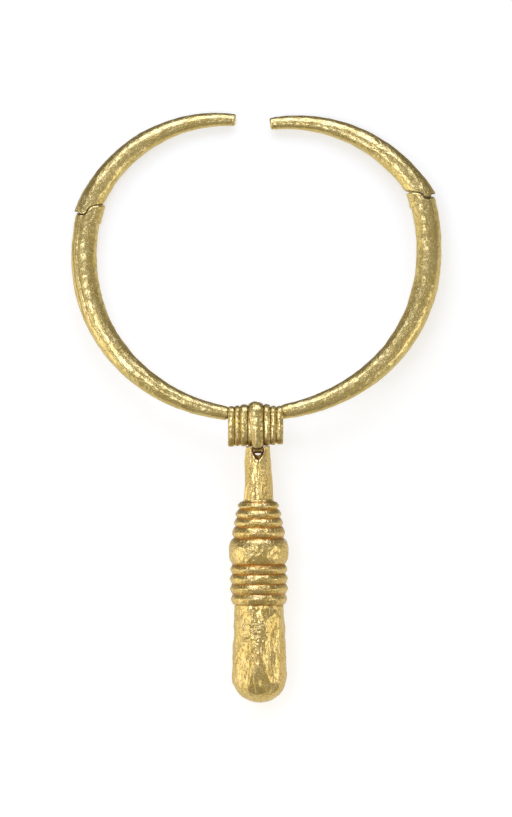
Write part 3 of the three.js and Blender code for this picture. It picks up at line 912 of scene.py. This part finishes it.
# Marks in the drop's surface: their kind, their size across, along and in depth, and a seed.
MARKS = {
    "filed": (swells, (1.6, 16, 1.6), 71),
    "fine_filed": (swells, (0.7, 3.5, 0.7), 72),
    "punched": (dents, 1.35, 73),
    "grain": (swells, 0.62, 74),
    "broad": (swells, (3.4, 9, 3.4), 75),
    "chased": (swells, (0.85, 3.2, 0.85), 76),
    "hammered": (dents, (2.6, 4.4, 2.6), 77),
    "crumpled": (swells, (1.5, 0.95, 1.5), 78),
    "uneven": (swells, 2.4, 79),
    "facets": (dents, (2.5, 15, 2.5), 80),
}
NECK_MARKS = {"facets": 0.62, "filed": 0.34, "fine_filed": 0.10, "grain": 0.02}
RING_MARKS = {"punched": 0.24, "grain": 0.08, "uneven": 0.07}
CLUB_MARKS = {"broad": 0.26, "hammered": 0.44, "chased": 0.16, "grain": 0.04}
CRUMPLE_MARKS = {"crumpled": 0.46, "punched": 0.3}
NOTCH_ROLL = (1.0, 0.5)
RING_WOBBLE = (2.8, 81, 0.2)  # size, seed and height of the rings' waver along the drop


def drop_relief(where, depth):
    """Height of the worked surface over the turned one: the neck filed into long facets, the
    rings and belly punched, the club hammered and chased, with a crumpled patch in front."""
    marks = {
        name: kind(where / size, seed) - (MEAN_DENT if kind is dents else 0)
        for name, (kind, size, seed) in MARKS.items()
    }

    def worked_with(heights):
        return sum(height * marks[name] for name, height in heights.items())

    neck = 1 - smooth_step(RINGS_START - 1.2, RINGS_START - 0.2, depth)
    club = smooth_step(RINGS_END, RINGS_END + 0.6, depth)
    relief = neck * worked_with(NECK_MARKS)
    bevel = rolled_edge(front_notch_edge(), where[..., 0], where[..., 1], *NOTCH_ROLL)
    relief -= bevel * (where[..., 2] > 0)
    relief += (1 - neck) * (1 - club) * worked_with(RING_MARKS)
    relief += club * worked_with(CLUB_MARKS)
    for *place, height in CLUB_FACETS:
        relief += height * bell(where, depth, *place)
    return relief + club * bell(where, depth, *CLUB_CRUMPLE) * worked_with(CRUMPLE_MARKS)


def turned_drop():
    """The drop's outline carried round its axis, with its relief along the radius, and leant
    a little sideways."""
    outline, in_bore = drop_outline()
    turn = full_turn(DROP_SIDES)
    radius, depth = (np.broadcast_to(c[:, None], (len(outline), DROP_SIDES)) for c in outline.T)
    where = np.stack([radius * np.sin(turn), -depth, radius * np.cos(turn)], axis=-1)
    outside = np.arange(len(outline)) >= in_bore
    relief = drop_relief(where, depth) * outside[:, None]
    relief *= smooth_step(0.4, 3.0, radius)
    ringed = plateau((RINGS_START - 0.5, RINGS_START + 1), (RINGS_END - 1, RINGS_END), depth)
    size, seed, height = RING_WOBBLE
    where[..., 1] += height * ringed * swells(where / size, seed)
    where[..., 0] += relief * np.sin(turn)
    where[..., 2] += relief * np.cos(turn)
    lean = math.radians(DROP_LEAN)
    x, y = where[..., 0].copy(), where[..., 1].copy()
    where[..., 0] = x * math.cos(lean) - y * math.sin(lean)
    where[..., 1] = x * math.sin(lean) + y * math.cos(lean)
    return capped_tube("turned", where[::-1])


def front_notch_edge():
    """The lower edge of the front notch: half an ellipse, drawn out to a soft point by raising
    its cosine and sine to a power."""
    turn = np.linspace(math.pi, 2 * math.pi, 41)
    across = np.sign(np.cos(turn)) * np.abs(np.cos(turn)) ** NOTCH_POINT
    return np.column_stack([
        NOTCH_HALF_WIDTH * across, -FRONT_NOTCH * np.abs(np.sin(turn)) ** NOTCH_POINT,
    ])


def back_notch_edge():
    """The lower edge of the back notch: wide above for the bail's middle rib, then a narrow U."""
    turn = np.linspace(math.pi, 2 * math.pi, 31)
    x, y = BACK_SLOT * np.cos(turn), BACK_SLOT * (1 + np.sin(turn)) - BACK_NOTCH
    ends = np.array([[-NOTCH_HALF_WIDTH, -0.3], [NOTCH_HALF_WIDTH, -0.3]])
    return np.concatenate([ends[:1], np.column_stack([x, y]), ends[1:]])


def notch(name, edge, low, high):
    """A cutter through one wall of the neck, open above its edge."""
    top = np.array([[NOTCH_HALF_WIDTH, REACH], [-NOTCH_HALF_WIDTH, REACH]])
    return prism(name, np.concatenate([edge, top]), low, high)


def over_ears():
    """All that lies above the ears' round crowns and the rim. In front of each crown the rim
    dips, to pass under the bail when the drop swings."""
    back, front = (math.asin(height / NECK_CROWN) for height in (EAR_SHOULDER, EAR_FRONT))
    turn = np.linspace(back, math.pi - front, 30)
    outline = np.concatenate([
        [[REACH, EAR_SHOULDER]],
        NECK_CROWN * np.column_stack([np.cos(turn), np.sin(turn)]),
        [(-in_front, over) for in_front, over in RIM_DIP],
        [[-REACH, EAR_SHOULDER], [-REACH, REACH], [REACH, REACH]],
    ])
    mesh = prism("over_ears", outline, -REACH, REACH)
    drawn = vertices_of(mesh)
    turned = np.stack([drawn[:, 2], drawn[:, 1], -drawn[:, 0]], axis=-1)
    mesh.vertices.foreach_set("co", turned.astype(np.float32).ravel())
    mesh.update()
    return mesh


def drop():
    """The turned drop with its notches, ears and pin hole, with painted shade, and a duller surface,
    in its bore, between its rings and in one place on the club's front."""
    hole = rod("hole", DROP_PIN_RADIUS + PIN_FIT, (-REACH, 0, 0), (REACH, 0, 0))
    mesh = worked(turned_drop(), [
        ("DIFFERENCE", notch("front_notch", front_notch_edge(), 0, REACH)),
        ("DIFFERENCE", notch("back_notch", back_notch_edge(), -REACH, 0.01)),
        ("DIFFERENCE", over_ears()),
        ("DIFFERENCE", hole),
    ])
    vertices = vertices_of(mesh)
    depth = -vertices[:, 1]
    # Painted shade on one place of the club's front and in the bore.
    shaded = 0.6 * bell(vertices, depth, *CLUB_SHADE)
    in_bore = np.hypot(vertices[:, 0], vertices[:, 2]) < NECK_BORE + 0.2
    in_bore &= depth < NECK_DEPTH + 0.1
    painted_shade = np.maximum.reduce([groove_depth(depth), 0.85 * in_bore, shaded])
    return finished("gold_drop", mesh, drop_to_row, along_y(vertices), painted_shade)


def drop_pin():
    """The rod through the neck's ears, its ends filed flush."""
    end = NECK_PROFILE[0][0] - 0.05
    mesh = rod("pin", DROP_PIN_RADIUS, (-end, 0, 0), (end, 0, 0))
    laid = along_y(vertices_of(mesh))
    # The pin is given painted shade as deep as the bore's.
    return finished("gold_drop_pin", mesh, drop_to_row, laid, np.full(len(laid), 0.85))


# ---- finishes


class Value:
    """A node's output that arithmetic turns into Math nodes."""

    def __init__(self, recipe, socket):
        self.recipe, self.socket = recipe, socket

    def _with(self, operation, *terms):
        return self.recipe.node("Math", {"operation": operation}, dict(enumerate(terms)))

    def __add__(self, other):
        return self._with("ADD", self, other)

    def __sub__(self, other):
        return self._with("SUBTRACT", self, other)

    def __rsub__(self, other):
        return self._with("SUBTRACT", other, self)

    def __mul__(self, other):
        return self._with("MULTIPLY", self, other)

    __radd__, __rmul__ = __add__, __mul__


class Recipe:
    """The node tree of one finish, or of the room."""

    def __init__(self, name=None, world=None):
        self.material = world or bpy.data.materials.new(name)
        self.material.use_nodes = True
        self.tree = self.material.node_tree
        self.tree.nodes.clear()

    def node(self, kind, settings=None, inputs=None, output=0):
        """Adds a node, sets it up, fills its sockets with values or links, and gives an output."""
        made = self.tree.nodes.new("ShaderNode" + kind)
        for key, value in (settings or {}).items():
            setattr(made, key, value)
        for key, value in (inputs or {}).items():
            if isinstance(value, Value):
                self.tree.links.new(value.socket, made.inputs[key])
            else:
                made.inputs[key].default_value = value
        return Value(self, made.outputs[output]) if made.outputs else None

    def surface(self, kind, inputs):
        """Ends the tree in a shader, and gives the finish."""
        shader = self.node(kind, {}, inputs)
        self.node("OutputMaterial", {}, {"Surface": shader})
        return self.material

    def between(self, value, low, high):
        """0 below low and 1 above high, with an S-shaped rise."""
        return self.node(
            "MapRange", {"interpolation_type": "SMOOTHSTEP"},
            {"Value": value, "From Min": low, "From Max": high},
        )

    def blend(self, share, first, second):
        """A colour between two colours."""
        return self.node(
            "Mix", {"data_type": "RGBA"}, {"Factor": share, "A": first, "B": second}, 2,
        )

    def clouds(self, lay, sizes, detail, roughness):
        """Noise from 0 to 1 whose features have these sizes in mm."""
        place = self.node("VectorMath", {"operation": "DIVIDE"}, {0: lay, 1: sizes})
        return self.node(
            "TexNoise", {"noise_dimensions": "3D"},
            {"Vector": place, "Scale": 1.0, "Detail": detail, "Roughness": roughness},
        )


# Near-black painted shade for the deepest cuts: the seams, the furrows' bottoms and the bail's
# grooves.
DEEP_SHADE_COLOUR = (0.05, 0.03, 0.012, 1)
PATCH_SIZES = (7, 4, 4)
SPECK_SIZES = (1.05, 0.85, 0.85)


def gold(name, pale, rich, shade, grain_sizes, pit_sizes, dullness, bite):
    """Hammered gold: pale and rich in patches, with painted brown shade in hollows and pits and
    near-black painted shade in the deepest cuts, all duller too. The bump, as high as its bite in
    metres, is grain, specks and pits."""
    recipe = Recipe(name)
    lay = recipe.node("Attribute", {"attribute_name": "lay"}, output="Vector")
    painted_shade = recipe.node("Attribute", {"attribute_name": "painted_shade"}, output="Fac")
    patches = recipe.clouds(lay, PATCH_SIZES, 3.0, 0.6)
    grain = recipe.clouds(lay, grain_sizes, 4.0, 0.62)
    pits = recipe.clouds(lay, pit_sizes, 2.0, 0.55)
    specks = recipe.clouds(lay, SPECK_SIZES, 2.0, 0.55)
    pitted = recipe.between(pits, 0.54, 0.66)
    worn = recipe.between(patches, 0.35, 0.68)
    # Painted shade from the point's shade value: brown from 0.3 up, near black from 0.88 up.
    depth = recipe.between(painted_shade, 0.30, 0.95)
    deep_shade = recipe.between(painted_shade, 0.88, 1.0)
    tone = recipe.blend(worn, pale, rich)
    tone = recipe.blend(depth * 0.85, tone, shade)
    # The pits are painted with the brown shade too.
    tone = recipe.blend(pitted * 0.45, tone, shade)
    tone = recipe.blend(deep_shade * 0.85, tone, DEEP_SHADE_COLOUR)
    rough = dullness + 0.10 * patches + 0.12 * pitted + 0.16 * depth
    height = grain * 0.6 + specks * 0.35 + (1 - pitted) * 0.35
    bump = recipe.node("Bump", {}, {"Strength": 0.8, "Distance": bite, "Height": height})
    return recipe.surface("BsdfPrincipled", {
        "Base Color": tone, "Roughness": rough, "Metallic": 1.0, "Normal": bump,
        "Coat Weight": 0.2, "Coat Roughness": 0.2,
    })


# ---- the object

COLLAR_GOLD = gold(
    "collar_gold", (0.86, 0.69, 0.31, 1), (0.78, 0.60, 0.23, 1), (0.42, 0.28, 0.09, 1),
    (2.8, 0.8, 0.8), (1.2, 0.8, 0.8), 0.18, 0.00019,
)
DROP_GOLD = gold(
    "drop_gold", (0.89, 0.68, 0.30, 1), (0.83, 0.61, 0.21, 1), (0.62, 0.33, 0.08, 1),
    (2.4, 0.9, 0.9), (1.1, 0.8, 0.8), 0.16, 0.00024,
)


def join_in(piece, body, node, finish):
    """Puts a piece on its body, in place of its CAD node, in its finish."""
    piece.data.materials.clear()
    piece.data.materials.append(finish)
    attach(piece, body)
    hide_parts(node)


join_in(front_bar(), "collar", "front_bar", COLLAR_GOLD)
for side in ("left", "right"):
    arm, pin = arm_and_pin(side)
    join_in(arm, f"{side}_arm", f"{side}_arm", COLLAR_GOLD)
    join_in(pin, "collar", f"{side}_hinge_pin", COLLAR_GOLD)
join_in(bail(), "collar", "bail", COLLAR_GOLD)
join_in(drop(), "drop", "drop", DROP_GOLD)
join_in(drop_pin(), "drop", "drop_pin", DROP_GOLD)

# ---- studio: lengths in metres

SWEEP_HALF = 9.0
SWEEP_ALBEDO = 0.62
GLOW = (0.715, 0.49)  # in front of the object and behind it
GLOW_REACH = 0.16
FAR_GLOW = 0.86
FAR_FROM, FAR_TO = 0.2, 0.8
WALL_RADIUS, WALL_FOOT, WALL_HEIGHT = 7, 0.001, 12
WALL_SIDES = 96
CARD_DIRECTION = (-0.95, -0.30, 0.08)
ROOM_TINT = (1, 0.96, 0.80, 1)
# Soft lights: place, what it points at, width, height, radiance and tint.
PANELS = {
    "main_softbox": ((-0.03, 0.475, 0.235), (-0.03, 0.415, 0.063), 0.58, 0.44, 2.55, (0.70, 0.76, 1)),
    "side_softbox": ((-0.13, 0.01, 0.34), (-0.13, 0.01, 0), 0.19, 0.14, 3.0, (0.74, 0.80, 1)),
    "left_card": ((-0.30, -0.12, 0.13), (0, -0.09, 0.01), 0.22, 0.20, 0.75, (1, 0.98, 0.9)),
    "right_card": ((0.30, -0.12, 0.16), (0, -0.09, 0.01), 0.22, 0.20, 1.2, (1, 0.98, 0.9)),
}


def table_top():
    """A white sweep under the object. It glows more in front and far away, where the softbox
    reaches it less, so that it is evenly white and shadows on it stay faint."""
    corners = SWEEP_HALF * np.array([[-1, -1, 0], [1, -1, 0], [1, 1, 0], [-1, 1, 0]])
    mesh = new_mesh("table", corners, [np.array([[0, 1, 2, 3]])])
    floor = linked("table", mesh)
    floor.visible_glossy = False
    recipe = Recipe("white_sweep")
    place = recipe.node("TexCoord", output="Object")
    back = recipe.node("SeparateXYZ", {}, {0: place}, "Y")
    near = recipe.node("MapRange", {"interpolation_type": "LINEAR"}, {
        "Value": back, "From Min": -GLOW_REACH, "From Max": GLOW_REACH,
        "To Min": GLOW[0], "To Max": GLOW[1],
    })
    away = recipe.node("VectorMath", {"operation": "LENGTH"}, {0: place}, "Value")
    glow = near + recipe.between(away, FAR_FROM, FAR_TO) * (FAR_GLOW - near)
    grey = recipe.node("CombineXYZ", {}, {"X": glow, "Y": glow, "Z": glow})
    mesh.materials.append(recipe.surface("BsdfPrincipled", {
        "Base Color": (SWEEP_ALBEDO, SWEEP_ALBEDO, SWEEP_ALBEDO, 1), "Roughness": 0.9,
        "Specular IOR Level": 0.0, "Emission Color": grey, "Emission Strength": 1.0,
    }))


def backdrop():
    """A tall white wall round the object, seen behind it from low down. It lights nothing and
    nothing mirrors it."""
    turn = full_turn(WALL_SIDES)
    rim = WALL_RADIUS * np.column_stack([np.cos(turn), np.sin(turn)])
    rows = [np.column_stack([rim, np.full(turn.size, z)]) for z in (WALL_FOOT, WALL_HEIGHT)]
    mesh = new_mesh("backdrop", np.concatenate(rows), [grid_faces(2, turn.size)[:, ::-1]])
    wall = linked("backdrop", mesh)
    wall.visible_glossy = wall.visible_diffuse = wall.visible_shadow = False
    glow = {"Color": (1, 1, 1, 1), "Strength": 1.0}
    mesh.materials.append(Recipe("white_wall").surface("Emission", glow))


def panel(name, place, target, width, height, radiance, tint):
    """A soft rectangular light at a place, turned to a target."""
    light = bpy.data.lights.new(name, "AREA")
    light.shape, light.size, light.size_y = "RECTANGLE", width, height
    light.energy = radiance * math.pi * width * height
    light.color = tint
    holder = linked(name, light)
    holder.location = place
    aim = Vector(target) - Vector(place)
    holder.rotation_euler = aim.to_track_quat("-Z", "Y").to_euler()
    holder.visible_camera = False


def room():
    """What the gold mirrors: dim warm walls, brighter towards the ceiling, a pale table that
    darkens at the back, and a white card low down on the left."""
    world = bpy.data.worlds.new("room")
    recipe = Recipe(world=world)
    where = recipe.node("TexCoord", output="Generated")
    back = recipe.node("SeparateXYZ", {}, {0: where}, "Y")
    height = recipe.node("SeparateXYZ", {}, {0: where}, "Z")
    walls = 0.26 + 0.13 * recipe.between(height, 0.25, 0.75)
    below = recipe.between(height, 0.30, -0.30)
    table = 0.74 - 0.54 * recipe.between(back, 0.0, 0.6)
    to_card = recipe.node(
        "VectorMath", {"operation": "DOT_PRODUCT"}, {0: where, 1: CARD_DIRECTION}, "Value"
    )
    card = 0.45 * recipe.between(to_card, 0.74, 0.95)
    tone = walls * (1 - below) + table * below + card
    sky = recipe.node("Background", {}, {"Color": ROOM_TINT, "Strength": tone})
    recipe.node("OutputWorld", {}, {"Surface": sky})
    bpy.context.scene.world = world


table_top()
backdrop()
room()
for name, settings in PANELS.items():
    panel(name, *settings)

# ---- camera

LENS, SENSOR = 400, 36
VIEW_HEIGHT = 0.3064  # how many metres the picture is high
LOOK_AT = Vector((-0.0002, -0.0004, 0.008))

camera = bpy.data.cameras.new("camera")
camera.lens, camera.sensor_width = LENS, SENSOR
camera.clip_start, camera.clip_end = 0.01, 100
viewpoint = linked("camera", camera)
viewpoint.location = LOOK_AT + Vector((0, 0, VIEW_HEIGHT * LENS / SENSOR))
bpy.context.scene.camera = viewpoint
bpy.context.scene.view_settings.view_transform = "Standard"
